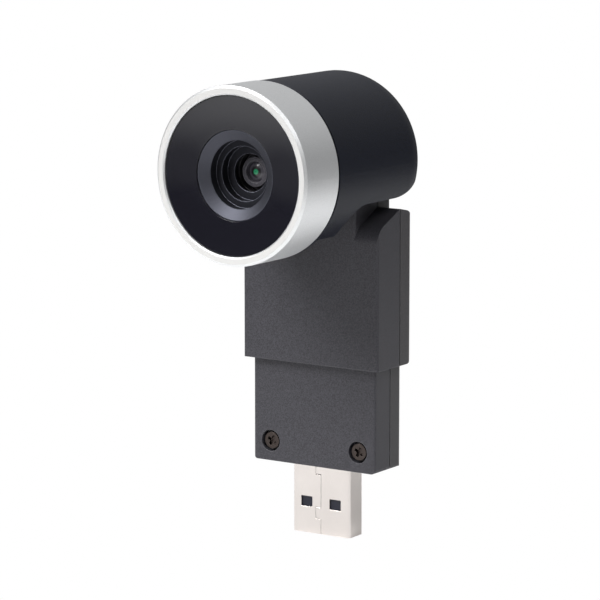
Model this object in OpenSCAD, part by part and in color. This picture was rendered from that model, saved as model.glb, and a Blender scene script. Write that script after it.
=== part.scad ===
// Conference camera: a round head that tilts on a flat two-step stem, which ends in a USB plug.
// The silver ring round the front turns and closes a two-leaf privacy shutter.
// +Z is up and the front looks along -Y. The origin is the centre of the plug where it leaves the stem.

/* [USB plug] */
// Width of the plug's metal shell
plug_w = 12.0; // [11.5:0.1:13]
// Thickness of the plug's metal shell
plug_t = 4.5; // [4.3:0.1:5]
// Length of the plug outside the stem
plug_len = 12.8; // [11:0.1:15]
// Sheet thickness of the plug's shell
plug_sheet = 0.3; // [0.2:0.05:0.4]
// Outer corner radius of the plug's shell
plug_corner = 0.6; // [0.5:0.1:0.8]
// Width of a latch window
window_w = 2.4; // [2:0.1:2.8]
// Height of a latch window
window_h = 1.9; // [1.5:0.1:2.5]
// Distance between the two latch windows of a face
window_pitch = 6.0; // [5:0.1:7]
// Distance from the stem to the middle of the latch windows
window_drop = 7.1; // [6:0.1:8]
// Thickness of the plastic tongue
tongue_t = 1.84; // [1.6:0.02:2]
// Width of the plastic tongue
tongue_w = 11.1; // [10:0.1:11.2]

/* [Lower block] */
// Width of the lower block
lower_w = 25.6; // [25:0.1:27]
// Distance of the lower block's front face from the plug's middle
lower_front = 4.55; // [4.4:0.05:5]
// Distance of the lower block's back face from the plug's middle
lower_back = 4.5; // [4.4:0.05:5]
// Height of the lower block that shows
lower_h = 18.6; // [18:0.1:22]
// Height of the lower block inside the upper block
insert_h = 6.0; // [5:0.1:7]
// Wall of the lower block
lower_wall = 1.2; // [1:0.05:1.3]
// Place of the lower block's seam, behind the plug's middle
lower_seam = 0.3; // [0:0.05:0.5]
// Radius of the lower block's rear edges
lower_rear_r = 1.5; // [1.3:0.1:2]
// Radius of the lower block's bottom corners
lower_corner = 0.8; // [0.6:0.1:1.2]
// Distance of the screws from the lower block's sides
screw_inset = 3.6; // [3.3:0.1:3.8]
// Height of the screws above the lower block's bottom
screw_z = 3.6; // [3.5:0.1:4.5]
// Radius of the screw heads
screw_head_r = 1.5; // [1.4:0.05:1.6]
// Height of the screw heads
screw_head_h = 1.1; // [0.9:0.05:1.3]
// Radius of the screw shanks
screw_r = 0.8; // [0.7:0.05:0.9]

/* [Upper block] */
// Wall of the upper block
upper_wall = 1.2; // [1:0.05:1.3]
// Place of the upper block's seam, behind the plug's middle
upper_seam = 1.35; // [1.2:0.05:1.6]
// Radius of the upper block's rear edges
upper_rear_r = 1.8; // [1.5:0.1:2.2]
// Height at which the shoulders leave the front face
shoulder_z = 41.1; // [40.6:0.1:41.4]
// Radius of the bend of the shoulders
shoulder_r = 3.2; // [2.5:0.1:3.5]
// Slope of the shoulders, degrees
shoulder_slope = 24; // [20:1:25]
// Width of the tower between the shoulders
tower_w = 18.8; // [18.2:0.1:19]
// Radius of the tower's rear edges
tower_rear_r = 0.9; // [0.6:0.1:1.2]
// Height of the tower above the hinge axis
tower_rise = 3.9; // [3.8:0.1:4.1]

/* [Hinge] */
// Place of the hinge axis along Y
hinge_y = -0.9; // [-1:0.05:-0.8]
// Height of the hinge axis
hinge_z = 52.5; // [52.4:0.1:52.8]
// Outer radius of the hollow axles
axle_r = 1.5; // [1.4:0.05:1.55]
// Bore radius of the hollow axles
axle_bore_r = 0.9; // [0.8:0.05:1]
// Radius of the axle flanges
axle_flange_r = 2.5; // [2.2:0.1:2.7]
// Thickness of a hinge ear
ear_t = 1.0; // [0.8:0.05:1.1]
// Radius of a hinge ear round its bore
ear_r = 2.7; // [2.3:0.1:2.7]
// Largest tilt of the head with the front down, degrees
tilt_down = 25; // [15:1:25]
// Largest tilt of the head with the front up, degrees
tilt_up = 10; // [5:1:10]
// Radius of the wire bundle
wire_r = 0.6; // [0.4:0.05:0.65]

/* [Head] */
// Height of the head's axis
axis_z = 54.4; // [54.3:0.05:54.6]
// Step from the ring in to the black housing
head_step = 0.1; // [0:0.05:0.15]
// Wall of the housing
head_wall = 1.3; // [1.2:0.05:1.35]
// Distance of the front panel from the plug's middle
panel_front = 29.7; // [29.5:0.1:30.5]
// Depth of the housing's front edge behind the front panel
housing_depth = 10.1; // [10:0.05:10.2]
// Place of the head's rear face along Y
head_rear = 10.15; // [10.05:0.05:10.3]
// Radius of the head's rear edge
head_rear_r = 7.0; // [6:0.1:7.2]
// Radius of the underside's rear edge
under_r = 5.6; // [5:0.1:5.7]
// Thickness of the housing's front rim
rim_t = 0.6; // [0.5:0.05:0.8]
// Height of the flat belly behind the ring
belly_z = 43.1; // [42.5:0.1:43.5]
// Height of the flat underside over the shoulders
ceiling_z = 48.45; // [48.3:0.05:48.5]
// Place along Y of the step from the belly to the underside
scoop_y = -13.9; // [-14.2:0.1:-13.8]
// Radius of that step's upper corner
scoop_r = 4.6; // [4:0.1:4.8]

/* [Ring and panel] */
// Outer radius of the ring
ring_r = 15.35; // [15.3:0.05:15.5]
// Distance from the ring's outer edge in to the front panel
ring_wall = 1.75; // [1.7:0.05:1.8]
// Thickness of the front panel
panel_t = 1.5; // [1.45:0.05:1.55]
// Depth of the panel's dish at the lens recess
panel_dish = 0.85; // [0.6:0.05:0.9]
// Distance that the ring stands before the panel
ring_lead = 0.45; // [0.2:0.05:0.8]
// Distance from the ring's rear edge to the housing
ring_gap = 0.35; // [0.25:0.05:0.4]
// Bevel on the ring's outer front edge
ring_bevel = 0.45; // [0.2:0.05:0.6]
// Angle that the ring turns from open to closed, degrees
ring_turn = 50; // [48:1:52]

/* [Lens recess] */
// Radius of the recess at the panel
recess_r = 7.8; // [7.6:0.05:7.9]
// Depth of the bevel's outer edge
recess_edge = 1.05; // [1:0.05:1.2]
// Radius at the foot of the bevel
bevel_foot_r = 5.85; // [5.6:0.05:6.1]
// Depth of the bevel's foot
bevel_depth = 2.2; // [2:0.1:2.4]
// Depth of the first step
step_depth = 3.9; // [3.7:0.1:4]
// Inner radius of the first step
step_r = 4.7; // [4.5:0.05:4.9]
// Depth of the second step
throat_depth = 5.65; // [5.5:0.05:5.7]
// Radius of the throat inside the second step
throat_r = 3.3; // [3:0.05:3.4]
// Depth of the lens's front
lens_depth = 6.95; // [6.9:0.05:7.05]
// Radius of the lens's nose
lens_nose_r = 2.55; // [2.4:0.05:2.65]

/* [Shutter] */
// Distance of the leaf pivots and of the driving studs from the head's axis
pivot_r = 9.0; // [8.9:0.05:9.1]
// Thickness of a shutter leaf
leaf_t = 0.25; // [0.2:0.01:0.26]
// Distance that a closed leaf covers past the throat's edge
leaf_margin = 0.3; // [0.2:0.05:0.35]
// Angle of a leaf's arm off the straight line when closed, degrees
arm_angle = 8; // [7:0.5:9]
// Radius of the leaf pivots
leaf_pivot_r = 0.6; // [0.5:0.05:0.65]
// Radius of the driving studs
stud_r = 0.5; // [0.4:0.05:0.55]

/* [Boards] */
// Thickness of the circuit boards
board_t = 0.8; // [0.6:0.05:1]
// Gap between the sensor board and the main board
board_gap = 3.0; // [2.9:0.05:3.2]
// Radius of the small screws' shanks
small_screw_r = 0.5; // [0.4:0.05:0.55]
// Radius of the small screws' heads
small_head_r = 1.0; // [0.9:0.05:1.1]
// Height of the small screws' heads
small_head_h = 0.6; // [0.5:0.05:0.65]

/* [Hidden] */
$fn = 96;
SIDES = [-1, 1];

// How far a cut runs past the face that it opens
over = 0.5;
// Reach of the boxes that split the casings at their seams
reach = 80;
// Radial clearance of turning fits
run_gap = 0.05;
// Clearance of screws in their holes and of pieces in their seats
seat_gap = 0.05;
// Clearance between casings that slip together
slip_gap = 0.1;
// Width of the seam grooves
seam_w = 0.3;
// Forward reach of a cover's lip past the seam
lip_reach = 0.8;
// Radius of the crisp moulded edges
edge_r = 0.4;
// Smallest edge radius left inside a wall
least_r = 0.1;
// Upper block: the lower block slips into it
upper_w = lower_w + 2 * (upper_wall + slip_gap);
upper_front = lower_front + upper_wall + slip_gap;
upper_back = lower_back + upper_wall + slip_gap;
// Radius of the rounded top and bottom rear edges of the upper block's cover
cover_edge_r = 3.0;
cover_foot_r = 2.2;
// Fall of the cover's top towards the rear, degrees
cover_slope = 12;
// Height where the shoulders meet the seam
shoulder_mid = [shoulder_r - upper_front, shoulder_z];
cover_top = slope_z(upper_seam, 0);
// Lower block's inside
insert_top = lower_h + insert_h;
lower_screw_x = lower_w / 2 - screw_inset;
pocket_share = 0.4;
head_pocket_r = screw_head_r + pocket_share * screw_head_h;
head_sink = 0.38;
post_wall = 0.5;
post_r = head_pocket_r + post_wall;
shell_root = 4.0;
tongue_root = 5.0;
tongue_tip = 0.6;
contact_t = 0.2;
contact_w = 1.0;
contact_in = 1.0;
contact_out = 3.5;
CONTACT_XS = [-contact_out, -contact_in, contact_in, contact_out];
// Distance of the contacts' tips from the tongue's tip, as shares of a contact's width
TIP_SHARES = [0.6, 1.6, 1.6, 0.6];
tongue_front = plug_sheet + seat_gap - plug_t / 2;
contact_y = tongue_front + tongue_t;
board_y = contact_y + contact_t;
adapter_w = 14;
adapter_h = 11.2;
adapter_z = tongue_root + seat_gap;
contact_pad = 1.8;
contact_top = adapter_z + contact_pad;
connector_w = 3.6;
connector_h = 3.4;
connector_t = 2.0;
connector_inset = 0.6;
connector_top = adapter_z + adapter_h - connector_inset;
seam_slit = 0.08;
seam_x = -0.55;
seam_step = 1.1;
// Heights of the seam's steps as shares of the plug's length
SEAM_SHARES = [0, 0.15, 0.62, 0.78, 1];
rib_t = 1.0;
rib_x = 5.6;
rib_h = 3.0;
// Lock pegs between the two blocks
peg_r = 1.2;
peg_x = 8.5;
peg_z = lower_h + insert_h / 2;
// Tower
tower_top = hinge_z + tower_rise;
tower_screw_x = 2.3;
tower_screw_drop = 0.1;
tower_screw_z = hinge_z - tower_screw_drop;
tower_post_r = 1.5;
// Hinge stack along X, from the middle of the head outwards
flange_t = 1.0;
washer_t = 0.3;
washer_r = 2.3;
clip_t = 0.5;
clip_r = 2.2;
groove_cut = 0.25;
groove_r = axle_r - groove_cut;
clip_mouth_share = 1.4;
tower_side = tower_w / 2;
flange_x = tower_side - upper_wall;
ear_x = tower_side + washer_t + 2 * run_gap;
outer_washer_x = ear_x + ear_t + run_gap;
clip_x = outer_washer_x + washer_t + run_gap;
axle_tip = 0.3;
axle_end = clip_x + clip_t + axle_tip;
meet_back = 1.2;
wire_meet = axle_end - meet_back;
wire_gap = 0.1;
foot_t = 0.8;
foot_len = 2.6;
foot_end = ear_r + foot_len;
foot_w = 3.1;
bracket_screw_x = ear_x + foot_w - small_head_r - seat_gap;
bracket_screw_y = ear_r + foot_len / 2;
bite = 0.9;
// Head, in depths behind the front panel unless the name says otherwise
head_r = ring_r - head_step;
panel_r = ring_r - ring_wall;
floor_z = ceiling_z + head_wall;
slot_play = 0.3;
slot_side = tower_side + slot_play;
slot_gap = 0.25;
slot_drop = hinge_z - ceiling_z;
slot_front = hinge_y - (upper_front + hinge_y) / cos(tilt_down) - slot_drop * tan(tilt_down) - slot_gap;
slot_rear = hinge_y + (upper_back - hinge_y) / cos(tilt_up) + slot_drop * tan(tilt_up) + slot_gap;
slot_rise = floor_z + head_wall;
// Rounding across each lower rear corner of the head: radius, angle towards the rear in degrees, and
// distance of its axis from the head's middle
heel_r = 4.2;
heel_turn = 32;
heel_x = 11.5;
sweep_gap = 0.5;
sweep_r = head_rear - head_wall - hinge_y - sweep_gap;
rim_lap = 0.85;
rim_in = panel_r - rim_lap;
// Collar
panel_gap = 0.1;
ring_in = panel_r + panel_gap;
collar_out = ring_in - run_gap;
spigot_wall = 0.6;
collar_in = rim_in - spigot_wall;
bezel_rim_t = 0.5;
bezel_rim = panel_t + bezel_rim_t;
lip_gap = 0.1;
lip_front = panel_t + lip_gap;
lip_t = 0.8;
collar_step = lip_front + lip_t + lip_gap;
lip_w = 0.9;
neck_r = ring_in - lip_w;
lip_in = neck_r + run_gap * 2;
bezel_floor = 0.4;
bezel_back = throat_depth + bezel_floor;
// Shutter stack
leaf_gap = 0.1;
leaf_depth = [bezel_back + leaf_gap, bezel_back + leaf_t + 2 * leaf_gap];
pivot_past = 0.04;
pivot_end = leaf_depth[1] + leaf_t + pivot_past;
driver_depth = pivot_end + leaf_gap;
driver_t = 0.6;
driver_in = pivot_r - 2 * stud_r;
driver_out = collar_in - 2 * run_gap;
boss_front = driver_depth - seat_gap;
web_front = driver_depth + driver_t + leaf_gap;
web_t = 1.3;
web_back = web_front + web_t;
web_clear = 1.1;
web_bore = lens_nose_r + web_clear;
boss_wall = 1.0;
boss_out = driver_in - run_gap * 2;
boss_in = boss_out - boss_wall;
leaf_swing = ring_turn / 2;
leaf_half = asin((throat_r + leaf_margin) / pivot_r);
leaf_lap = leaf_swing - leaf_half;
leaf_reach = pivot_r + throat_r + leaf_margin;
hub_wall = 0.7;
leaf_hub_r = leaf_pivot_r + hub_wall;
arm_past = 0.2;
arm_len = 2 * pivot_r * cos(arm_angle) + arm_past;
arm_rim = 0.5;
arm_w = 2 * (stud_r + run_gap + arm_rim);
stud_angle = -90 - 2 * arm_angle - ring_turn;
tab_w = 3.0;
tab_bite = 0.75;
tab_out = ring_in + tab_bite;
tab_angle = 180 - ring_turn / 2;
// Angle left free at each end of the window, degrees
window_play = 2;
window_half = ring_turn / 2 + asin(tab_w / 2 / collar_in) + window_play;
ring_back = housing_depth - ring_gap;
ring_rear_bevel = 0.3;
ring_inner_bevel = 0.25;
spigot_out = rim_in - slip_gap;
spigot_past = 0.3;
spigot_back = housing_depth + rim_t + spigot_past;
// Collar screws
collar_screw_ring = 11.0;
COLLAR_SCREW_ANGLES = [58, 122, 200, 340];
collar_post_r = 1.3;
boss_bite = 3.0;
collar_screw_end = spigot_back + boss_bite;
boss_floor = 1.5;
boss_back = collar_screw_end + boss_floor;
// Lens and boards
barrel_len = 3.7;
holder_gap = 0.3;
holder_front = web_back + holder_gap;
barrel_flange = 0.82;
barrel_r = lens_nose_r + barrel_flange;
holder_wall = 0.95;
holder_r = barrel_r + holder_wall;
barrel_lead = 0.4;
barrel_body = holder_front - barrel_lead;
barrel_back = barrel_body + barrel_len;
holder_plate = barrel_back + holder_gap;
holder_rim = 1.0;
holder_half = holder_r + holder_rim;
holder_base = 0.5;
holder_bore_play = 0.3;
holder_bite = 1.8;
filter_seat = 0.6;
filter_front = holder_plate + filter_seat;
filter_t = 0.3;
filter_half = 3.0;
cavity_half = 4.0;
// Distance across the cavity's cut corners, as a share of its half width
cavity_share = 2.1;
sensor_gap = 1.0;
sensor_depth = filter_front + filter_t + sensor_gap;
sensor_t = 0.8;
sensor_board_front = sensor_depth + sensor_t;
sensor_board_back = sensor_board_front + board_t;
main_front = sensor_board_back + board_gap;
main_back = main_front + board_t;
SENSOR_HALVES = [2.6, 2.1];
stay_gap = 1.45;
stay_x = holder_half + stay_gap;
stay_r = 1.2;
stay_core_share = 0.8;
STAY_ZS = [-2.6, 5.6];
STAYS = [for (side = SIDES) for (z = STAY_ZS) [side * stay_x, z]];
stud_len = 3.0;
sensor_board_rim = 1.5;
sensor_board_side = stay_x + sensor_board_rim;
sensor_board_foot = 0.65;
SENSOR_BOARD_ZS = [-holder_half - sensor_board_foot, 7.2];
main_board_rim = 2.3;
main_board_side = stay_x + main_board_rim;
main_board_lift = 0.5;
MAIN_BOARD_ZS = [floor_z - axis_z + main_board_lift, 8.6];
processor_half = 3.5;
processor_t = 0.9;
processor_lift = 2.0;
link_half_w = 3.2;
link_h = 1.8;
link_lift = 3.0;
nose_wall = 0.95;
front_glass_r = lens_nose_r - nose_wall;
rear_glass_cut = 0.3;
rear_glass_r = lens_nose_r - rear_glass_cut;
glass_bulge = 3.0;
glass_sink = 0.25;
front_glass_depth = lens_depth + glass_sink;
front_glass_t = 1.1;
glass_back = front_glass_depth + front_glass_t;
glass_ledge = 0.25;
nose_cone = 0.35;
rear_glass_t = 1.5;
rear_seat = barrel_back - rear_glass_t;
rear_sink = 0.2;
pin_inset = 0.95;
holder_pin = holder_half - pin_inset;
head_connector_x = 6.7;
head_connector_lift = 1.2;

// Shared shapes and formulas

// Point at an angle on a circle
function polar(r, a) = r * [cos(a), sin(a)];

// Height of the shoulder's slope at a place along Y, for a casing shrunk by inset
function slope_start(inset) =
    shoulder_mid + (shoulder_r - inset) * [-sin(shoulder_slope), cos(shoulder_slope)];
function slope_z(y, inset) =
    slope_start(inset)[1] + (y - slope_start(inset)[0]) * tan(shoulder_slope);

// Height of the rear cover's top at a place along Y, for a casing shrunk by inset
function cover_z(y, inset) = cover_top - (y - upper_seam) * tan(cover_slope) - inset / cos(cover_slope);

// Flat shape seen from the front, between two depths behind the front panel
module plate(depth, thickness) {
    translate([0, depth + thickness - panel_front, axis_z])
        rotate([90, 0, 0])
            linear_extrude(thickness)
                children();
}

// Solid turned about the head's axis from points of radius and depth
module turned(points) {
    translate([0, -panel_front, axis_z])
        rotate([-90, 0, 0])
            rotate_extrude()
                polygon(points);
}

// Side profile in Y and Z, extruded across the part
module across(x_from, x_to) {
    translate([x_from, 0, 0])
        rotate([90, 0, 90])
            linear_extrude(x_to - x_from)
                children();
}

// Cylinder along X from one place to another
module rod_x(x_from, x_to, r) {
    translate([x_from, 0, 0])
        rotate([0, 90, 0])
            cylinder(h = x_to - x_from, r = r);
}

// Cylinder along Y from one place to another
module rod_y(y_from, y_to, r) {
    translate([0, y_from, 0])
        rotate([-90, 0, 0])
            cylinder(h = y_to - y_from, r = r);
}

// Box from one corner to the opposite one
module box(low, high) {
    translate(low)
        cube(high - low);
}

// Plan of a block: width, front, back, and the radii of its front and rear edges
module plan(w, front, back, front_r, rear_r) {
    side = w / 2;
    polygon([
        [-side, front_r - front], [front_r - side, -front],
        [side - front_r, -front], [side, front_r - front],
        [side, back - rear_r], [side - rear_r, back],
        [rear_r - side, back], [-side, back - rear_r],
    ]);
    for (s = SIDES) {
        translate([s * (side - front_r), front_r - front])
            circle(front_r);
        translate([s * (side - rear_r), back - rear_r])
            circle(rear_r);
    }
}

// Rectangle with round corners
module round_rect(w, h, r) {
    square([w, h - 2 * r], center = true);
    square([w - 2 * r, h], center = true);
    for (sx = SIDES, sy = SIDES)
        translate([sx * (w / 2 - r), sy * (h / 2 - r)])
            circle(r);
}

// Everything before a plane across Y
module before(y) {
    box([-reach, -reach, -reach], [reach, y, reach + lower_h]);
}

// Everything behind a plane across Y
module behind(y) {
    box([-reach, y, -reach], [reach, reach, reach + lower_h]);
}

// Screw along Y with its head towards the front; the origin is under the head
module front_screw(shank_r, shank_len, head_r, head_h, slot_w) {
    difference() {
        union() {
            rod_y(0, shank_len, shank_r);
            rod_y(-head_h, 0, head_r);
        }
        cross_slot(-head_h, head_h / 2, head_r, slot_w);
    }
}

// Cross slot cut into a screw head from the front
module cross_slot(y, depth, head_r, slot_w) {
    for (turn = [slot_turn, slot_turn + 90])
        rotate([0, turn, 0])
            box([-head_r * slot_share, y - over, -slot_w / 2], [head_r * slot_share, y + depth, slot_w / 2]);
}
slot_share = 0.6;
slot_turn = 28;
slot_w_share = 0.36;

// Round bundle through a list of points, with a ball at each bend
module bundle(points, r) {
    for (i = [1 : len(points) - 1]) {
        run = points[i] - points[i - 1];
        translate(points[i - 1])
            rotate([0, acos(run[2] / norm(run)), atan2(run[1], run[0])])
                cylinder(h = norm(run), r = r, $fn = 32);
    }
    for (i = [1 : 1 : len(points) - 2])
        translate(points[i])
            sphere(r, $fn = 32);
}

// Plug

module usb_shell() {
    color("silver")
        difference() {
            translate([0, 0, -plug_len])
                linear_extrude(plug_len + shell_root)
                    difference() {
                        round_rect(plug_w, plug_t, plug_corner);
                        round_rect(plug_w - 2 * plug_sheet, plug_t - 2 * plug_sheet,
                            plug_corner - plug_sheet);
                    }
            for (side = SIDES)
                translate([side * window_pitch / 2, 0, -window_drop])
                    cube([window_w, plug_t + 2 * over, window_h], center = true);
            shell_seam();
        }
}

// Stepped slit where the folded sheet meets itself on the front face
module shell_seam() {
    y_low = -plug_t / 2 - over;
    y_high = plug_sheet - plug_t / 2 + over / 2;
    for (i = [0 : len(SEAM_SHARES) - 2]) {
        x = seam_x + (i % 2) * seam_step - seam_step / 2;
        z_high = i == 0 ? shell_root + over : -SEAM_SHARES[i] * plug_len;
        z_low = -SEAM_SHARES[i + 1] * plug_len - (i == len(SEAM_SHARES) - 2 ? over : 0);
        box([x - seam_slit / 2, y_low, z_low], [x + seam_slit / 2, y_high, z_high]);
        if (i > 0)
            box([seam_x - seam_step / 2 - seam_slit / 2, y_low, z_high - seam_slit / 2],
                [seam_x + seam_step / 2 + seam_slit / 2, y_high, z_high + seam_slit / 2]);
    }
}

module usb_tongue() {
    block_side = plug_w / 2 - plug_sheet - seat_gap;
    block_y = plug_t / 2 - plug_sheet - seat_gap;
    channel_x = contact_out + contact_w;
    color("midnightblue")
        difference() {
            union() {
                box([-tongue_w / 2, tongue_front, tongue_tip - plug_len], [tongue_w / 2, contact_y, over]);
                translate([0, 0, over])
                    linear_extrude(tongue_root - over)
                        round_rect(2 * block_side, 2 * block_y, plug_corner - plug_sheet);
            }
            box([-channel_x, contact_y, 0], [channel_x, contact_y + contact_t, tongue_root + over]);
        }
}

module usb_contacts() {
    color("gold")
        for (i = [0 : len(CONTACT_XS) - 1]) {
            tip = tongue_tip + contact_w * TIP_SHARES[i] - plug_len;
            translate([CONTACT_XS[i], 0, 0])
                box([-contact_w / 2, contact_y, tip], [contact_w / 2, board_y, contact_top]);
        }
}

module adapter_board() {
    color("darkgreen")
        box([-adapter_w / 2, board_y, adapter_z], [adapter_w / 2, board_y + board_t, adapter_z + adapter_h]);
}

module board_connector() {
    y = board_y + board_t;
    color("ivory")
        box([wire_x - connector_w / 2, y, connector_top - connector_h],
            [wire_x + connector_w / 2, y + connector_t, connector_top]);
}
wire_x = 5.0;
wire_y = board_y + board_t + connector_t / 2;

// Lower block

// Solid of the lower block shrunk by inset, with its top at a height
module lower_solid(inset, top) {
    corner = max(lower_corner - inset, least_r);
    side = lower_w / 2 - inset;
    intersection() {
        translate([0, 0, inset])
            linear_extrude(top - inset)
                plan(lower_w - 2 * inset, lower_front - inset, lower_back - inset,
                    max(edge_r - inset, least_r), max(lower_rear_r - inset, least_r));
        rotate([90, 0, 0])
            translate([0, 0, -reach])
                linear_extrude(2 * reach) {
                    translate([-side, inset + corner])
                        square([2 * side, top]);
                    translate([corner - side, inset])
                        square([2 * (side - corner), top]);
                    for (s = SIDES)
                        translate([s * (side - corner), inset + corner])
                            circle(corner);
                }
    }
}

// Lip of a cover between its inner face and the middle of its wall
lip_share = 0.5;

module lower_lip(y_from, y_to, grow) {
    intersection() {
        difference() {
            lower_solid(lower_wall * lip_share + grow, insert_top);
            lower_solid(lower_wall, insert_top + over);
        }
        box([-reach, y_from, -reach], [reach, y_to, reach]);
    }
}

module plug_hole() {
    translate([0, 0, -over])
        linear_extrude(lower_wall + 2 * over)
            round_rect(plug_w + 2 * seat_gap, plug_t + 2 * seat_gap, plug_corner);
}

module lower_front_shell() {
    edge = lower_seam - seam_w / 2;
    color("dimgray")
        difference() {
            union() {
                difference() {
                    intersection() {
                        lower_solid(0, insert_top);
                        before(edge);
                    }
                    lower_solid(lower_wall, insert_top + over);
                    lower_lip(lower_seam - lip_reach - seam_w, reach, -seat_gap);
                }
                for (s = SIDES) {
                    translate([s * lower_screw_x, 0, screw_z])
                        rod_y(-lower_front + lower_wall / 2, edge - lip_reach, post_r);
                    translate([s * rib_x, 0, adapter_z + adapter_h / 2])
                        box([-rib_t / 2, lower_wall / 2 - lower_front, -rib_h / 2],
                            [rib_t / 2, board_y - seat_gap, rib_h / 2]);
                }
            }
            for (s = SIDES) {
                translate([s * lower_screw_x, 0, screw_z]) {
                    rod_y(-lower_front - over, screw_seat_y, head_pocket_r);
                    rod_y(-lower_front, edge + over, screw_r + seat_gap);
                }
                translate([s * peg_x, 0, peg_z])
                    rod_y(-lower_front - over, lower_wall - lower_front + over, peg_r + seat_gap);
            }
            plug_hole();
        }
}
screw_seat_y = head_sink + screw_head_h - lower_front;
screw_len = -screw_seat_y + lower_back - lower_wall;

module lower_rear_cover() {
    edge = lower_seam + seam_w / 2;
    color("gray")
        difference() {
            union() {
                difference() {
                    intersection() {
                        lower_solid(0, insert_top);
                        behind(edge);
                    }
                    lower_solid(lower_wall, insert_top + over);
                }
                lower_lip(lower_seam - lip_reach, edge + over / 2, 0);
                for (s = SIDES) {
                    translate([s * lower_screw_x, 0, screw_z])
                        rod_y(lower_seam - lip_reach, lower_back - lower_wall / 2, post_r);
                    translate([s * rib_x, 0, adapter_z + adapter_h / 2])
                        box([-rib_t / 2, board_y + board_t + seat_gap, -rib_h / 2],
                            [rib_t / 2, lower_back - lower_wall / 2, rib_h / 2]);
                }
            }
            for (s = SIDES) {
                translate([s * lower_screw_x, 0, screw_z])
                    rod_y(-over, screw_seat_y + screw_len + seat_gap, screw_r + seat_gap);
                translate([s * peg_x, 0, peg_z])
                    rod_y(lower_back - lower_wall - over, lower_back + over, peg_r + seat_gap);
            }
            plug_hole();
        }
}

module lower_screws() {
    color([0.25, 0.2, 0.18])
        for (s = SIDES)
            translate([s * lower_screw_x, screw_seat_y, screw_z])
                front_screw(screw_r, screw_len, screw_head_r, screw_head_h, screw_head_r * slot_w_share);
}

// Upper block

// Side profile of the front half between the shoulders' outer faces
module front_profile(inset, bottom) {
    start = slope_start(inset);
    past = upper_seam + upper_back;
    polygon([
        [inset - upper_front, bottom], [inset - upper_front, shoulder_z],
        start, [past, slope_z(past, inset)], [past, bottom],
    ]);
    translate(shoulder_mid)
        circle(shoulder_r - inset);
}

// Side profile of the rear cover between the shoulders' outer faces
module rear_profile(inset, bottom) {
    r = max(cover_edge_r - inset, least_r);
    back = upper_back - inset;
    foot_r = bottom < lower_h ? 0 : max(cover_foot_r - inset, least_r);
    mid = [back - r, cover_z(back - r, inset) - r / cos(cover_slope)];
    polygon([
        [-upper_front, bottom], [-upper_front, cover_z(-upper_front, inset)],
        mid + r * [sin(cover_slope), cos(cover_slope)], [back, mid[1]],
        [back, bottom + foot_r], [back - foot_r, bottom],
    ]);
    translate(mid)
        circle(r);
    if (foot_r > 0)
        translate([back - foot_r, bottom + foot_r])
            circle(foot_r);
}

// Solid of the upper block below the head, shrunk by inset
module upper_block(inset, bottom, top) {
    translate([0, 0, bottom])
        linear_extrude(top - bottom)
            plan(upper_w - 2 * inset, upper_front - inset, upper_back - inset,
                max(edge_r - inset, least_r), max(upper_rear_r - inset, least_r));
}

// Solid of the tower, shrunk by inset and kept inside the reach of the head's rear wall
module tower(inset, bottom) {
    intersection() {
        translate([0, 0, bottom])
            linear_extrude(tower_top - inset - bottom)
                plan(tower_w - 2 * inset, upper_front - inset, upper_back - inset,
                    max(edge_r - inset, least_r), max(tower_rear_r - inset, least_r));
        union() {
            box([-tower_w, -reach, bottom - over], [tower_w, reach, hinge_z]);
            translate([0, hinge_y, hinge_z])
                rod_x(-tower_w, tower_w, sweep_r - inset);
        }
    }
}

// One half of the upper block as a solid, shrunk by inset: the front or the rear half
module upper_half(front, inset, bottom) {
    side = upper_w / 2;
    intersection() {
        upper_block(inset, bottom, cover_top + over);
        across(-side, side)
            if (front)
                front_profile(inset, bottom);
            else
                rear_profile(inset, bottom);
    }
    tower(inset, shoulder_z - shoulder_r);
}

module upper_lip(y_from, y_to, grow) {
    inset = upper_wall * lip_share + grow;
    intersection() {
        difference() {
            union() {
                intersection() {
                    upper_block(inset, lower_h, cover_top);
                    across(-upper_w, upper_w)
                        front_profile(inset, lower_h);
                }
                tower(inset, shoulder_z);
            }
            upper_half(true, upper_wall, lower_h - over);
        }
        box([-reach, y_from, 0], [reach, y_to, reach]);
    }
}

// Place something on the hinge axis
module at_hinge() {
    translate([0, hinge_y, hinge_z])
        children();
}

module axle_bores() {
    at_hinge()
        for (s = SIDES)
            translate([s * (tower_side - upper_wall / 2), 0, 0])
                rod_x(-upper_wall, upper_wall, axle_r + seat_gap);
}

module upper_front_shell() {
    edge = upper_seam - seam_w / 2;
    inner = upper_front - upper_wall;
    color("dimgray")
        difference() {
            union() {
                difference() {
                    intersection() {
                        upper_half(true, 0, lower_h);
                        before(edge);
                    }
                    upper_half(true, upper_wall, lower_h - over);
                    upper_lip(upper_seam - lip_reach - seam_w, reach, -seat_gap);
                }
                for (s = SIDES) {
                    translate([s * peg_x, 0, peg_z])
                        rod_y(-inner - upper_wall / 2, lower_wall - lower_front - seat_gap, peg_r);
                    translate([s * tower_screw_x, 0, tower_screw_z])
                        rod_y(-inner - upper_wall / 2, edge - lip_reach, tower_post_r);
                }
            }
            axle_bores();
            for (s = SIDES)
                translate([s * tower_screw_x, 0, tower_screw_z])
                    rod_y(-inner, edge, small_screw_r + seat_gap);
        }
}

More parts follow.
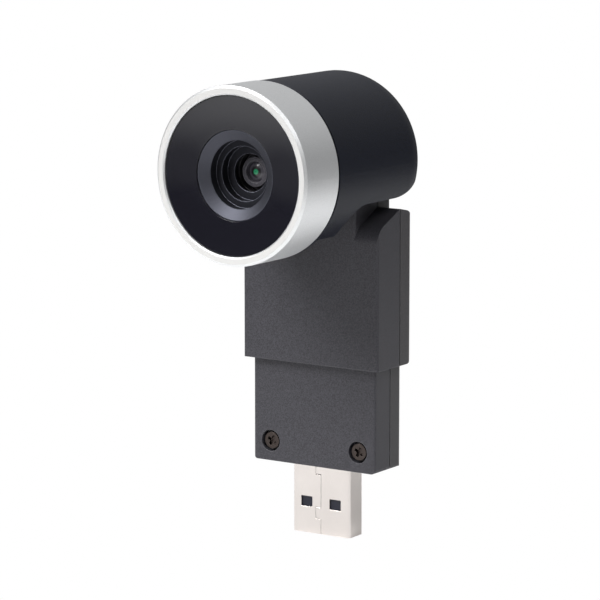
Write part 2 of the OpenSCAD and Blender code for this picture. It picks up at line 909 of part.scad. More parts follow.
module upper_rear_cover() {
    edge = upper_seam + seam_w / 2;
    inner = upper_back - upper_wall;
    color("gray")
        difference() {
            union() {
                difference() {
                    intersection() {
                        upper_half(false, 0, lower_h);
                        behind(edge);
                    }
                    upper_half(false, upper_wall, lower_h - over);
                }
                upper_lip(upper_seam - lip_reach, edge + over / 2, 0);
                for (s = SIDES) {
                    translate([s * peg_x, 0, peg_z])
                        rod_y(lower_back - lower_wall + seat_gap, inner + upper_wall / 2, peg_r);
                    translate([s * tower_screw_x, 0, tower_screw_z])
                        rod_y(upper_seam - lip_reach, inner + upper_wall / 2, tower_post_r);
                }
            }
            axle_bores();
            for (s = SIDES)
                translate([s * tower_screw_x, 0, tower_screw_z]) {
                    rod_y(-upper_seam, upper_back, small_screw_r + seat_gap);
                    rod_y(upper_back - small_head_h - seat_gap, upper_back + over, small_head_r + seat_gap);
                }
        }
}

module tower_screws() {
    under = upper_back - small_head_h - seat_gap;
    color("black")
        for (s = SIDES)
            translate([s * tower_screw_x, under, tower_screw_z])
                rotate([0, 0, 180])
                    front_screw(small_screw_r, under + upper_front - upper_wall - seat_gap,
                        small_head_r, small_head_h, small_head_r * slot_w_share);
}

// Hinge

module hinge_axles() {
    color("lightsteelblue")
        at_hinge()
            for (turn = [0, 180])
                rotate([0, 0, turn])
                    difference() {
                        union() {
                            rod_x(flange_x - flange_t, flange_x, axle_flange_r);
                            rod_x(flange_x, axle_end, axle_r);
                        }
                        rod_x(flange_x - flange_t - over, axle_end + over, axle_bore_r);
                        difference() {
                            rod_x(clip_x, clip_x + clip_t, axle_r + over);
                            rod_x(clip_x - over, clip_x + clip_t + over, groove_r);
                        }
                    }
}

module washer(x) {
    difference() {
        rod_x(x, x + washer_t, washer_r);
        rod_x(x - over, x + washer_t + over, axle_r + seat_gap);
    }
}

module friction_washers() {
    color("silver")
        at_hinge()
            for (turn = [0, 180])
                rotate([0, 0, turn]) {
                    washer(tower_side + run_gap);
                    washer(outer_washer_x);
                }
}

module hinge_clips() {
    mouth = groove_r * clip_mouth_share;
    color("darkgray")
        at_hinge()
            for (turn = [0, 180])
                rotate([0, 0, turn])
                    difference() {
                        rod_x(clip_x + seat_gap, clip_x + clip_t - seat_gap, clip_r);
                        rod_x(clip_x, clip_x + clip_t, groove_r + seat_gap);
                        box([clip_x, -mouth / 2, 0], [clip_x + clip_t, mouth / 2, clip_r + over]);
                    }
}

module hinge_brackets() {
    z_foot = floor_z - hinge_z;
    color("gainsboro")
        at_hinge()
            for (side = SIDES)
                mirror([side < 0 ? 1 : 0, 0, 0])
                    difference() {
                        union() {
                            across(ear_x, ear_x + ear_t) {
                                circle(ear_r);
                                polygon([
                                    [-foot_end, z_foot], [foot_end, z_foot],
                                    [foot_end, z_foot + foot_t], [ear_r, 0],
                                    [-ear_r, 0], [-foot_end, z_foot + foot_t],
                                ]);
                            }
                            for (end = SIDES)
                                translate([0, end * bracket_screw_y, 0])
                                    box([ear_x, -foot_len / 2, z_foot],
                                        [ear_x + foot_w, foot_len / 2, z_foot + foot_t]);
                        }
                        rod_x(ear_x - over, ear_x + ear_t + over, axle_r + run_gap);
                        for (end = SIDES)
                            translate([bracket_screw_x, end * bracket_screw_y, z_foot - over])
                                cylinder(h = foot_t + 2 * over, r = small_screw_r + seat_gap);
                    }
}

// Places of the four bracket screws, as seen from above
BRACKET_SCREWS = [for (sx = SIDES) for (sy = SIDES) [sx * bracket_screw_x, hinge_y + sy * bracket_screw_y]];

module bracket_screws() {
    color("black")
        for (p = BRACKET_SCREWS)
            translate([p[0], p[1], floor_z + foot_t])
                rotate([-90, 0, 0])
                    front_screw(small_screw_r, foot_t + bite, small_head_r, small_head_h,
                        small_head_r * slot_w_share);
}

// Wires

module stem_wires() {
    color("orangered")
        bundle([
            [wire_x, wire_y, connector_top], [wire_x, wire_y, shoulder_z],
            [wire_x, hinge_y, shoulder_z], [wire_x, hinge_y, hinge_z],
            [wire_meet, hinge_y, hinge_z],
        ], wire_r);
}

module head_wires() {
    outer = axle_end + wire_r + wire_gap;
    turn_y = main_back + connector_t / 2 - panel_front;
    turn_z = axis_z + head_connector_lift;
    color("orangered")
        bundle([
            [wire_meet, hinge_y, hinge_z], [outer, hinge_y, hinge_z],
            [outer, turn_y, hinge_z], [outer, turn_y, turn_z],
            [head_connector_x + connector_w / 2, turn_y, turn_z],
        ], wire_r);
}

// Housing

// Round outline of the housing, shrunk by inset
module housing_round(inset, front) {
    r = head_r - inset;
    back = head_rear + panel_front - inset;
    round_r = head_rear_r - inset;
    translate([0, -panel_front, axis_z])
        rotate([-90, 0, 0])
            rotate_extrude() {
                polygon([
                    [0, front], [r, front], [r, back - round_r],
                    [r - round_r, back], [0, back],
                ]);
                translate([r - round_r, back - round_r])
                    circle(round_r);
            }
}

// Space under the housing: below the belly, and the step up to the flat underside
module scoop(grow, belly_from) {
    side = head_r + over;
    past = head_rear + over;
    r = scoop_r + grow;
    mid = [scoop_y + scoop_r, ceiling_z - scoop_r];
    low = axis_z - head_r - over;
    across(-side, side) {
        translate([belly_from, low])
            square([past - belly_from, belly_z + grow - low]);
        translate([scoop_y - grow, low])
            square([past - scoop_y + grow, mid[1] - low]);
        translate([mid[0], low])
            square([past - mid[0], ceiling_z + grow - low]);
        translate(mid)
            circle(r);
        difference() {
            translate([head_rear - under_r, low])
                square([past - head_rear + under_r, ceiling_z + under_r - low]);
            translate([head_rear - under_r, ceiling_z + under_r])
                circle(under_r - grow);
        }
    }
}

// Space outside the rounding across a lower rear corner
module heel(side) {
    far = 2 * head_r;
    mirror([side < 0 ? 1 : 0, 0, 0])
        rotate([0, 0, heel_turn])
            difference() {
                box([heel_x, -far, ceiling_z - over], [far, far, ceiling_z + heel_r]);
                translate([heel_x, 0, ceiling_z + heel_r])
                    rod_y(-far - over, far + over, heel_r);
            }
}

module head_housing() {
    rim_back = housing_depth + rim_t - panel_front;
    color([0.08, 0.08, 0.11])
        difference() {
            union() {
                difference() {
                    housing_round(0, housing_depth);
                    difference() {
                        housing_round(head_wall, housing_depth + rim_t);
                        scoop(head_wall, -panel_front);
                    }
                    difference() {
                        plate(housing_depth - over, rim_t + 2 * over)
                            circle(rim_in);
                        scoop(head_wall, -panel_front);
                    }
                    scoop(0, rim_back);
                    for (s = SIDES)
                        heel(s);
                }
                collar_bosses();
            }
            box([-slot_side, slot_front, ceiling_z - over], [slot_side, slot_rear, slot_rise]);
            for (p = BRACKET_SCREWS)
                translate([p[0], p[1], floor_z - bite - seat_gap])
                    cylinder(h = bite + over, r = small_screw_r + seat_gap);
        }
}

// Bosses inside the housing that take the collar's screws
module collar_bosses() {
    front = spigot_back + slip_gap;
    difference() {
        plate(front, boss_back - front)
            for (a = COLLAR_SCREW_ANGLES)
                rotate(a) {
                    translate([collar_screw_ring, 0])
                        circle(collar_post_r);
                    translate([collar_screw_ring, -collar_post_r / 2])
                        square([head_r - head_wall / 2 - collar_screw_ring, collar_post_r]);
                }
        plate(spigot_back, collar_screw_end + seat_gap - spigot_back)
            for (a = COLLAR_SCREW_ANGLES)
                translate(polar(collar_screw_ring, a))
                    circle(small_screw_r + seat_gap);
    }
}

// Boards

module board_holes() {
    for (p = STAYS)
        translate(p)
            circle(small_screw_r + seat_gap);
}

module board(depth, side, zs) {
    plate(depth, board_t)
        difference() {
            translate([-side, zs[0]])
                square([2 * side, zs[1] - zs[0]]);
            board_holes();
            children();
        }
}

module main_board() {
    color("darkgreen")
        board(main_front, main_board_side, MAIN_BOARD_ZS);
}

module sensor_board() {
    color("darkgreen")
        board(sensor_board_front, sensor_board_side, SENSOR_BOARD_ZS)
            holder_holes();
}

module holder_holes() {
    for (s = SIDES)
        translate([s * holder_pin, -s * holder_pin])
            circle(small_screw_r + seat_gap);
}

module processor() {
    color("black")
        plate(main_back, processor_t)
            translate([-processor_half, processor_lift - processor_half])
                square(2 * processor_half);
}

module link_connector() {
    color("ivory")
        plate(sensor_board_back, board_gap)
            translate([-link_half_w, link_lift - link_h / 2])
                square([2 * link_half_w, link_h]);
}

module head_connector() {
    color("ivory")
        plate(main_back, connector_t)
            translate([head_connector_x - connector_w / 2, head_connector_lift - connector_h / 2])
                square([connector_w, connector_h]);
}

module standoffs() {
    color("goldenrod") {
        plate(sensor_board_back, board_gap)
            for (p = STAYS)
                translate(p)
                    difference() {
                        circle(stay_r, $fn = 6);
                        circle(small_screw_r + seat_gap);
                    }
        plate(sensor_board_front - stud_len, stud_len + board_t + board_gap / 4)
            for (p = STAYS)
                translate(p)
                    circle(small_screw_r);
        plate(sensor_board_back, board_gap / 4)
            for (p = STAYS)
                translate(p)
                    circle(stay_r * stay_core_share);
    }
}

module board_screws() {
    color("black")
        for (p = STAYS)
            translate([p[0], main_back - panel_front, axis_z + p[1]])
                rotate([0, 0, 180])
                    front_screw(small_screw_r, board_t + board_gap / 2, small_head_r, small_head_h,
                        small_head_r * slot_w_share);
}

// Lens

module image_sensor() {
    color("slategray")
        plate(sensor_depth, sensor_t)
            square(2 * SENSOR_HALVES, center = true);
}

module ir_filter() {
    color("lightcyan")
        plate(filter_front + seat_gap, filter_t - seat_gap)
            square(2 * (filter_half - seat_gap), center = true);
}

module lens_holder() {
    bore = rear_glass_r + holder_bore_play;
    color([0.12, 0.12, 0.13])
        difference() {
            union() {
                turned([
                    [0, holder_front], [holder_r, holder_front],
                    [holder_r, holder_plate], [0, holder_plate],
                ]);
                plate(barrel_back - holder_base, sensor_board_front - barrel_back + holder_base)
                    square(2 * holder_half, center = true);
            }
            turned([
                [0, holder_front - over], [barrel_r + seat_gap, holder_front - over],
                [barrel_r + seat_gap, holder_plate], [bore, holder_plate],
                [bore, filter_front + seat_gap], [0, filter_front + seat_gap],
            ]);
            plate(filter_front, filter_t + seat_gap)
                square(2 * filter_half, center = true);
            plate(filter_front + filter_t, sensor_board_front - filter_front - filter_t + over)
                intersection() {
                    square(2 * cavity_half, center = true);
                    rotate(45)
                        square(cavity_share * cavity_half, center = true);
                }
            plate(sensor_board_front - holder_bite, holder_bite + over)
                holder_holes();
        }
}

module holder_screws() {
    color("black")
        for (s = SIDES)
            translate([s * holder_pin, sensor_board_back - panel_front, axis_z - s * holder_pin])
                rotate([0, 0, 180])
                    front_screw(small_screw_r, board_t + holder_bite - seat_gap, small_head_r, small_head_h,
                        small_head_r * slot_w_share);
}

module lens_barrel() {
    seat_r = front_glass_r + seat_gap;
    ledge_r = front_glass_r - glass_ledge;
    color([0.05, 0.05, 0.06])
        turned([
            [front_glass_r + glass_ledge, lens_depth], [lens_nose_r, lens_depth], [lens_nose_r, barrel_body],
            [barrel_r, barrel_body], [barrel_r, barrel_back], [rear_glass_r + seat_gap, barrel_back],
            [rear_glass_r + seat_gap, rear_seat], [ledge_r, rear_seat],
            [ledge_r, glass_back + seat_gap], [seat_r, glass_back + seat_gap],
            [seat_r, front_glass_depth + nose_cone],
        ]);
}

// Round glass with a flat back and a bulging front
module glass(front, back, r, bulge) {
    intersection() {
        turned([[0, front], [r, front], [r, back], [0, back]]);
        translate([0, front + bulge - panel_front, axis_z])
            sphere(bulge);
    }
}

module front_lens() {
    color("lightcyan")
        glass(front_glass_depth, glass_back, front_glass_r, glass_bulge);
}

module rear_lens() {
    color("lightcyan")
        glass(rear_seat + seat_gap, barrel_back - rear_sink, rear_glass_r, 2 * glass_bulge);
}

// Collar, bezel and panel

module collar() {
    color([0.15, 0.15, 0.17])
        difference() {
            union() {
                turned([
                    [web_bore, web_front], [boss_in, web_front], [boss_in, boss_front],
                    [boss_out, boss_front], [boss_out, web_front], [collar_in, web_front],
                    [collar_in, bezel_rim], [neck_r, bezel_rim], [neck_r, collar_step],
                    [collar_out, collar_step], [collar_out, housing_depth],
                    [spigot_out, housing_depth], [spigot_out, spigot_back],
                    [collar_in, spigot_back], [collar_in, web_back], [web_bore, web_back],
                ]);
                plate(web_back - web_t / 2, spigot_back - web_back + web_t / 2)
                    for (a = COLLAR_SCREW_ANGLES)
                        translate(polar(collar_screw_ring, a))
                            circle(collar_post_r);
                plate(web_back - web_t / 2, sensor_board_front - web_back + web_t / 2)
                    for (p = STAYS)
                        translate(p)
                            circle(stay_r);
            }
            plate(bezel_rim - over, web_front - bezel_rim + over)
                for (a = [0, 180])
                    window_sector(a);
            plate(web_front - over, spigot_back - web_front + 2 * over)
                for (a = COLLAR_SCREW_ANGLES)
                    translate(polar(collar_screw_ring, a))
                        circle(small_screw_r + seat_gap);
            plate(web_front - over / 4, small_head_h + 2 * seat_gap + over / 4)
                for (a = COLLAR_SCREW_ANGLES)
                    translate(polar(collar_screw_ring, a))
                        circle(small_head_r + seat_gap);
            plate(sensor_board_front - stud_len - seat_gap, stud_len + over)
                for (p = STAYS)
                    translate(p)
                        circle(small_screw_r + seat_gap);
            box([-head_r, housing_depth - panel_front, axis_z - head_r],
                [head_r, spigot_back + over - panel_front, belly_z + head_wall + slip_gap]);
        }
}

// Sector of the collar's wall that is open for the driver's tab
module window_sector(middle) {
    far = 2 * ring_r;
    intersection() {
        difference() {
            circle(collar_out + over);
            circle(collar_in - over);
        }
        polygon([
            [0, 0], polar(far, middle - window_half), polar(far, middle), polar(far, middle + window_half),
        ]);
    }
}

module collar_screws() {
    under = web_front + small_head_h + 2 * seat_gap;
    color("black")
        for (a = COLLAR_SCREW_ANGLES) {
            p = polar(collar_screw_ring, a);
            translate([p[0], under - panel_front, axis_z + p[1]])
                front_screw(small_screw_r, collar_screw_end - under, small_head_r, small_head_h,
                    small_head_r * slot_w_share);
        }
}

module lens_bezel() {
    trough_in = recess_r + trough_wall;
    trough_out = collar_in - trough_wall;
    trough_back = bezel_back - trough_wall;
    bore = recess_r - seat_gap;
    color([0.2, 0.2, 0.22])
        union() {
            difference() {
                turned([
                    [throat_r, bezel_back], [throat_r, throat_depth], [step_r, throat_depth],
                    [step_r, step_depth], [bevel_foot_r, step_depth], [bevel_foot_r, bevel_depth],
                    [bore - bevel_edge, recess_edge], [bore, recess_edge], [bore, panel_t], [neck_r, panel_t],
                    [neck_r, bezel_rim], [collar_in - 2 * run_gap, bezel_rim],
                    [collar_in - 2 * run_gap, bezel_back],
                ]);
                turned([
                    [trough_in, panel_t - over], [trough_out, panel_t - over],
                    [trough_out, trough_back], [trough_in, trough_back],
                ]);
            }
            plate(bezel_back - over, pivot_end - bezel_back + over)
                for (s = SIDES)
                    translate([0, s * pivot_r])
                        circle(leaf_pivot_r);
        }
}
bevel_edge = 0.15;
trough_wall = 0.8;

module front_panel() {
    color([0.02, 0.02, 0.03])
        turned([
            [recess_r, panel_dish], [panel_r, 0], [panel_r, panel_t], [recess_r, panel_t],
        ]);
}

// Ring and shutter

// The two places of the driver's tabs
module tab_bars(from_r, to_r, w) {
    for (a = [tab_angle, tab_angle + 180])
        rotate(a)
            translate([from_r, -w / 2])
                square([to_r - from_r, w]);
}

module ring_bezel() {
    front = -ring_lead;
    color("silver")
        difference() {
            turned([
                [ring_in, front + ring_inner_bevel], [ring_in + ring_inner_bevel, front],
                [ring_r - ring_bevel, front], [ring_r, front + ring_bevel],
                [ring_r, ring_back - ring_rear_bevel], [ring_r - ring_rear_bevel, ring_back],
                [ring_in, ring_back], [ring_in, lip_front + lip_t], [lip_in, lip_front + lip_t],
                [lip_in, lip_front], [ring_in, lip_front],
            ]);
            plate(driver_depth - seat_gap, ring_back - driver_depth + over)
                tab_bars(collar_in, tab_out + seat_gap, tab_w + 2 * seat_gap);
        }
}

module shutter_driver() {
    color("darkgray") {
        plate(driver_depth, driver_t) {
            difference() {
                circle(driver_out);
                circle(driver_in);
            }
            tab_bars(driver_out - over, tab_out, tab_w);
        }
        for (i = [0, 1])
            plate(leaf_depth[i], driver_depth - leaf_depth[i] + driver_t / 2)
                translate(polar(pivot_r, stud_angle + 180 * i))
                    circle(stud_r);
    }
}

// Outline of a leaf about its pivot, in the closed place, hanging down from the pivot
module leaf_outline() {
    far = 2 * leaf_reach;
    edges = [-leaf_half, (leaf_lap - leaf_half) / 2, leaf_lap];
    difference() {
        union() {
            intersection() {
                circle(leaf_reach);
                polygon(concat([[0, 0]], [for (a = edges) far * [sin(a), -cos(a)]]));
            }
            circle(leaf_hub_r);
            rotate(-arm_angle)
                translate([-arm_w / 2, -arm_len])
                    square([arm_w, arm_len]);
        }
        circle(leaf_pivot_r + run_gap);
        rotate(-arm_angle)
            translate([-stud_r - run_gap, -arm_len - over])
                square([2 * (stud_r + run_gap), over + arm_len - slot_top]);
    }
}
slot_top = 2 * pivot_r * cos(arm_angle + leaf_swing) - stud_r - 2 * run_gap;

module shutter_leaf(i) {
    color("black")
        plate(leaf_depth[i], leaf_t)
            rotate(180 * i)
                translate([0, pivot_r])
                    rotate(-leaf_swing)
                        leaf_outline();
}

module shutter_leaf_left() shutter_leaf(0);
module shutter_leaf_right() shutter_leaf(1);

usb_shell();
usb_tongue();
usb_contacts();
adapter_board();
board_connector();
lower_front_shell();
lower_rear_cover();
lower_screws();
upper_front_shell();
upper_rear_cover();
tower_screws();
hinge_axles();
friction_washers();
hinge_clips();
stem_wires();
head_housing();
hinge_brackets();
bracket_screws();
head_wires();
head_connector();
main_board();
processor();
link_connector();
standoffs();
board_screws();
sensor_board();
image_sensor();
ir_filter();
lens_holder();
holder_screws();
lens_barrel();
front_lens();
rear_lens();
collar();
collar_screws();
lens_bezel();
front_panel();
ring_bezel();
shutter_driver();
shutter_leaf_left();
shutter_leaf_right();
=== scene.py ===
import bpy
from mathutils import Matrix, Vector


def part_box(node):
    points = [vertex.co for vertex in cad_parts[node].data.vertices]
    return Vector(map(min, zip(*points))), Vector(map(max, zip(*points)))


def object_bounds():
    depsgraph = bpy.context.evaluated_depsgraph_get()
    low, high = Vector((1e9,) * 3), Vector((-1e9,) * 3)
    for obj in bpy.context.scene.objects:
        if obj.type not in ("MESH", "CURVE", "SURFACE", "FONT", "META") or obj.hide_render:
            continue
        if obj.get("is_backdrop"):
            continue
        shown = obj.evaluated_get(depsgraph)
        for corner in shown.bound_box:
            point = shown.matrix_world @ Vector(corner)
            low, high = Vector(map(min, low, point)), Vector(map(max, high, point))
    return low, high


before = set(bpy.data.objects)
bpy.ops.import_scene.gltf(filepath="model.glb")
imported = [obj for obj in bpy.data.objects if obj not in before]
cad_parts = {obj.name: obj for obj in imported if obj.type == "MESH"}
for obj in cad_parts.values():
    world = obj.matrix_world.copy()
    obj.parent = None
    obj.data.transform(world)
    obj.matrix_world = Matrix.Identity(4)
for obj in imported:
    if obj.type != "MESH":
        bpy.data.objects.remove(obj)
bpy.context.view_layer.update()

import math

import bpy
from bpy.props import FloatProperty, FloatVectorProperty, PointerProperty
from bpy.types import Operator, Panel, PropertyGroup
from mathutils import Euler, Vector

bl_info = {
    "name": "Conference Camera",
    "version": (1, 0, 0),
    "blender": (4, 5, 0),
    "location": "3D View > Sidebar > Camera",
    "description": "Finishes and studio of a conference camera on a USB plug",
    "category": "Object",
}

MM = 0.001
# Height of the head's axis
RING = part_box("ring_bezel")
HEAD_Z = (RING[0][2] + RING[1][2]) / 2
# Radius at the foot of the bevel round the lens, and half the width over which the painted shade of the steps
# inside it fades in
BEVEL_FOOT = 5.9 * MM
EDGE = 0.1 * MM
# Way that the ring's faces point, by their Y, where the lighter rim starts and where it is full; the rim is a
# lighter cut with a painted highlight
HIGHLIT_RIM_FROM = -0.66
HIGHLIT_RIM_FULL = -0.95
# Cosine of the bend at which an edge's lightening, for rubbing and as a painted highlight, is full
WORN_AND_LIT_FULL = 0.88
# Radii of the gloss panel, and how far its face curves between them
PANEL_IN = 7.8 * MM
PANEL_OUT = 13.6 * MM
PANEL_SWELL = 0.12 * MM
# Radius of the front glass
GLASS_R = 1.6 * MM
# Places of the lamps, their size, the point that they face, and half of the floor's width, in metres
KEY_PLACE = (-0.35, -0.55, 0.65)
FILL_PLACE = (0.6, -0.3, 0.72)
LAMP_SIZE = 0.5
LAMP_AIM = (0, -0.01, 0.03)
FLOOR_HALF = 1.5
# Colour of the floor beyond the white sheet, and how far out the sheet has faded, in its radii
FLOOR_FAR = (0.12, 0.12, 0.12)
SHEET_FADE = 2.5
WHITE = (1, 1, 1, 1)
# Setting of a range that eases in and out
SMOOTH = {"interpolation_type": "SMOOTHSTEP"}
# Where the room ends and the backdrop's light starts, by Y of the direction; where the light grows from
# low to high, by Z of the direction; and its shares there
ROOM_TO_SKY = (-0.35, 0.55)
LOW_TO_HIGH = (0.1, 0.55)
LIGHT_SHARES = (0.8, 1.9)
# Width of the camera's sensor, in millimetres
SENSOR_MM = 36.0

# Colours of the lens and of the pieces inside
CHASSIS = (0.02, 0.02, 0.023)
BARREL = (0.060, 0.057, 0.068)
# Painted reflection and painted glint of the front glass's coating
GLASS_RIM_REFLECTION = (0.075, 0.070, 0.088)
PUPIL_GLINT = (0.02, 0.30, 0.13)
REAR_COATING = (0.6, 0.5, 0.9)
FILTER_COATING = (0.9, 0.5, 0.6)
DRIVER = (0.10, 0.10, 0.11)
LEAF = (0.02, 0.02, 0.022)
CONNECTOR = (0.66, 0.62, 0.50)
CHIP = (0.012, 0.012, 0.013)
SENSOR = (0.02, 0.03, 0.05)
HINGE_STEEL = (0.46, 0.46, 0.48)
SPRING_STEEL = (0.12, 0.12, 0.13)
BRASS = (0.62, 0.44, 0.18)
WIRE = (0.02, 0.02, 0.022)
GOLD_WORN = (0.80, 0.56, 0.24)
GOLD = (0.92, 0.72, 0.36)


# Sizes and colours

def colour(name, words, value):
    return FloatVectorProperty(name=name, description=words, default=value, size=3, min=0, max=1,
                               subtype="COLOR")


def share(name, words, value):
    return FloatProperty(name=name, description=words, default=value, min=0, max=1, subtype="FACTOR")


def length(name, words, value):
    return FloatProperty(name=name, description=words, default=value, min=0, unit="LENGTH",
                         subtype="DISTANCE")


def strength(name, words, value):
    return FloatProperty(name=name, description=words, default=value, min=0)


def power(name, words, value):
    return FloatProperty(name=name, description=words, default=value, min=0, unit="POWER")


class FinishProperties(PropertyGroup):
    block: colour("Stem plastic", "Colour of the stem's front halves", (0.038, 0.037, 0.044))
    cover: colour("Cover plastic", "Colour of the stem's rear covers", (0.048, 0.046, 0.049))
    housing: colour("Housing plastic", "Colour of the round head's casing", (0.0045, 0.006, 0.013))
    panel: colour("Gloss panel", "Colour of the black panel round the lens", (0.006, 0.0058, 0.010))
    ring: colour("Silver ring", "Colour of the turning ring", (0.76, 0.77, 0.78))
    # The ring's front: a lighter cut, with a painted highlight on it
    rim: colour("Ring front", "Colour of the ring's bright front rim", (0.66, 0.655, 0.645))
    bezel: colour("Lens bezel", "Colour of the bevel and the steps round the lens", (0.074, 0.076, 0.092))
    plug: colour("Plug shell", "Colour of the plated shell of the plug", (0.62, 0.58, 0.555))
    tongue: colour("Plug plastic", "Colour of the plastic inside the plug", (0.007, 0.008, 0.018))
    screws: colour("Screws", "Colour of the dark screws", (0.060, 0.049, 0.045))
    board: colour("Circuit boards", "Colour of the boards' solder mask", (0.008, 0.060, 0.030))
    # How much lighter the edges are painted, partly as rubbing and partly as a painted highlight
    edge_wear_and_highlight: share("Edge wear", "How much lighter the worn edges are", 0.8)
    soft_edge: length("Soft edges", "Radius that edges look rounded by", 0.2 * MM)
    grain: length("Plastic grain", "Size of the moulded plastic's grain", 0.16 * MM)


class StudioProperties(PropertyGroup):
    azimuth: FloatProperty(name="Camera turn", description="Angle of the camera round the object",
                           default=math.radians(33.67), subtype="ANGLE")
    elevation: FloatProperty(name="Camera height", description="Angle of the camera over the horizon",
                             default=math.radians(9.49), subtype="ANGLE")
    distance: length("Camera distance", "Distance of the camera from what it looks at", 0.57025)
    aim: FloatVectorProperty(name="Aim", description="Point that the camera looks at", size=3,
                             default=(-0.00677, 0.0012, 0.02843), unit="LENGTH", subtype="TRANSLATION")
    focal: FloatProperty(name="Focal length", description="Focal length in millimetres", default=192.0, min=1)
    backdrop: colour("Backdrop", "Colour of the floor and the backdrop", (0.93, 0.93, 0.93))
    sky: strength("Backdrop light", "Strength of the light from behind", 0.3)
    room: strength("Room light", "Strength of the light from the room in front", 0.12)
    key: power("Key lamp", "Power of the large lamp", 10.0)
    fill: power("Fill lamp", "Power of the lamp on the right", 2.4)
    bounce: strength("Floor light", "Strength of the light from the lit floor", 0.16)
    sheet: length("White sheet", "Radius of the white sheet that the object stands on", 0.15)


# Shader helpers

class Nodes:
    """A node tree, with short calls for its nodes."""

    def __init__(self, tree):
        self.tree = tree

    def add(self, kind, **values):
        node = self.tree.nodes.new(kind)
        for key, value in values.items():
            setattr(node, key, value)
        return node

    def link(self, source, target):
        self.tree.links.new(source, target)

    def feed(self, value, target):
        """Links an output to a socket, or sets the socket to a number or a colour."""
        if hasattr(value, "is_linked"):
            self.link(value, target)
        else:
            target.default_value = (*value, 1.0) if hasattr(value, "__len__") else value

    def times(self, first, second):
        """The product of two outputs, or of an output and a number."""
        node = self.add("ShaderNodeMath", operation="MULTIPLY")
        self.feed(first, node.inputs[0])
        self.feed(second, node.inputs[1])
        return node.outputs[0]

    def refit(self, source, places, values, **settings):
        """Takes the source from one pair of values to another."""
        node = self.add("ShaderNodeMapRange", **settings)
        for name, value in zip(("From Min", "From Max", "To Min", "To Max"), (*places, *values)):
            node.inputs[name].default_value = value
        self.link(source, node.inputs["Value"])
        return node.outputs["Result"]

    def between(self, source, low, high, **settings):
        """0 at the low value of the source and 1 at the high one."""
        return self.refit(source, (low, high), (0.0, 1.0), **settings)

    def spread(self, source, low, high):
        """The low value at 0 and the high one at 1."""
        return self.refit(source, (0.0, 1.0), (low, high))

    def flat_white(self, kind):
        """An even white light, as a background or as a glow."""
        node = self.add(kind)
        node.inputs["Strength"].default_value = 1.0
        node.inputs["Color"].default_value = WHITE
        return node.outputs[0]

    def for_camera(self, others, seen):
        """The camera sees one shader and all other rays meet the other."""
        path = self.add("ShaderNodeLightPath")
        blend = self.add("ShaderNodeMixShader")
        for source, target in zip((path.outputs["Is Camera Ray"], others, seen), blend.inputs):
            self.link(source, target)
        return blend.outputs[0]


class Finish(Nodes):
    """One material, with short calls for its looks."""

    def __init__(self, name, rough, metal=0.0):
        self.material = bpy.data.materials.new(name)
        self.material.use_nodes = True
        super().__init__(self.material.node_tree)
        self.shader = self.tree.nodes["Principled BSDF"]
        self.set(Roughness=rough, Metallic=metal)
        self.place = self.add("ShaderNodeTexCoord").outputs["Object"]

    def set(self, **values):
        for key, value in values.items():
            self.feed(value, self.shader.inputs[key.replace("_", " ")])

    def noise(self, scale, detail=3.0, stretch=None):
        node = self.add("ShaderNodeTexNoise")
        node.inputs["Scale"].default_value = scale
        node.inputs["Detail"].default_value = detail
        source = self.place
        if stretch:
            mapping = self.add("ShaderNodeMapping")
            mapping.inputs["Scale"].default_value = stretch
            self.link(source, mapping.inputs["Vector"])
            source = mapping.outputs["Vector"]
        self.link(source, node.inputs["Vector"])
        return node.outputs["Fac"]

    def ramp(self, source, stops):
        node = self.add("ShaderNodeValToRGB")
        ramp = node.color_ramp
        while len(ramp.elements) < len(stops):
            ramp.elements.new(0.5)
        for element, (place, value) in zip(ramp.elements, stops):
            element.position = place
            element.color = (*value, 1.0) if hasattr(value, "__len__") else (value, value, value, 1.0)
        self.link(source, node.inputs["Fac"])
        return node.outputs["Color"]

    def grain(self, size, detail=3.0, stretch=None):
        """Noise whose spots have the given size."""
        return self.noise(1 / size, detail, stretch)

    def mottle(self, source, colour, dark, light, places=(0.35, 0.65)):
        """A colour that the source takes from a darker share of it to a lighter one."""
        return self.ramp(source, tuple(zip(places, (scaled(colour, dark), scaled(colour, light)))))

    def soft_edges(self, radius):
        node = self.add("ShaderNodeBevel", samples=6)
        node.inputs["Radius"].default_value = radius
        return node.outputs["Normal"]

    def facing(self, axis, low, high):
        """White where the object's own face points along an axis, from low to high."""
        split = self.add("ShaderNodeSeparateXYZ")
        self.link(self.add("ShaderNodeTexCoord").outputs["Normal"], split.inputs[0])
        return self.between(split.outputs[axis], low, high)

    def reach(self):
        """Distance from the head's axis."""
        shift = self.add("ShaderNodeVectorMath", operation="MULTIPLY_ADD")
        self.link(self.place, shift.inputs[0])
        shift.inputs[1].default_value = (1, 0, 1)
        shift.inputs[2].default_value = (0, 0, -HEAD_Z)
        length = self.add("ShaderNodeVectorMath", operation="LENGTH")
        self.link(shift.outputs["Vector"], length.inputs[0])
        return length.outputs["Value"]

    def edge_mask(self, soft):
        """White along the edges, black on the faces."""
        true = self.add("ShaderNodeNewGeometry").outputs["Normal"]
        dot = self.add("ShaderNodeVectorMath", operation="DOT_PRODUCT")
        self.link(soft, dot.inputs[0])
        self.link(true, dot.inputs[1])
        return self.between(dot.outputs["Value"], 1.0, WORN_AND_LIT_FULL)

    def mix(self, factor, low, high):
        node = self.add("ShaderNodeMix", data_type="RGBA")
        for value, target in ((factor, node.inputs[0]), (low, node.inputs[6]), (high, node.inputs[7])):
            self.feed(value, target)
        return node.outputs[2]

    def bump(self, height, depth, normal):
        node = self.add("ShaderNodeBump")
        node.inputs["Strength"].default_value = 1.0
        node.inputs["Distance"].default_value = depth
        self.link(height, node.inputs["Height"])
        self.link(normal, node.inputs["Normal"])
        self.paint("Normal", node.outputs["Normal"])

    def paint(self, name, source):
        self.link(source, self.shader.inputs[name])


def scaled(colour, factor):
    return tuple(min(1.0, part * factor) for part in colour)


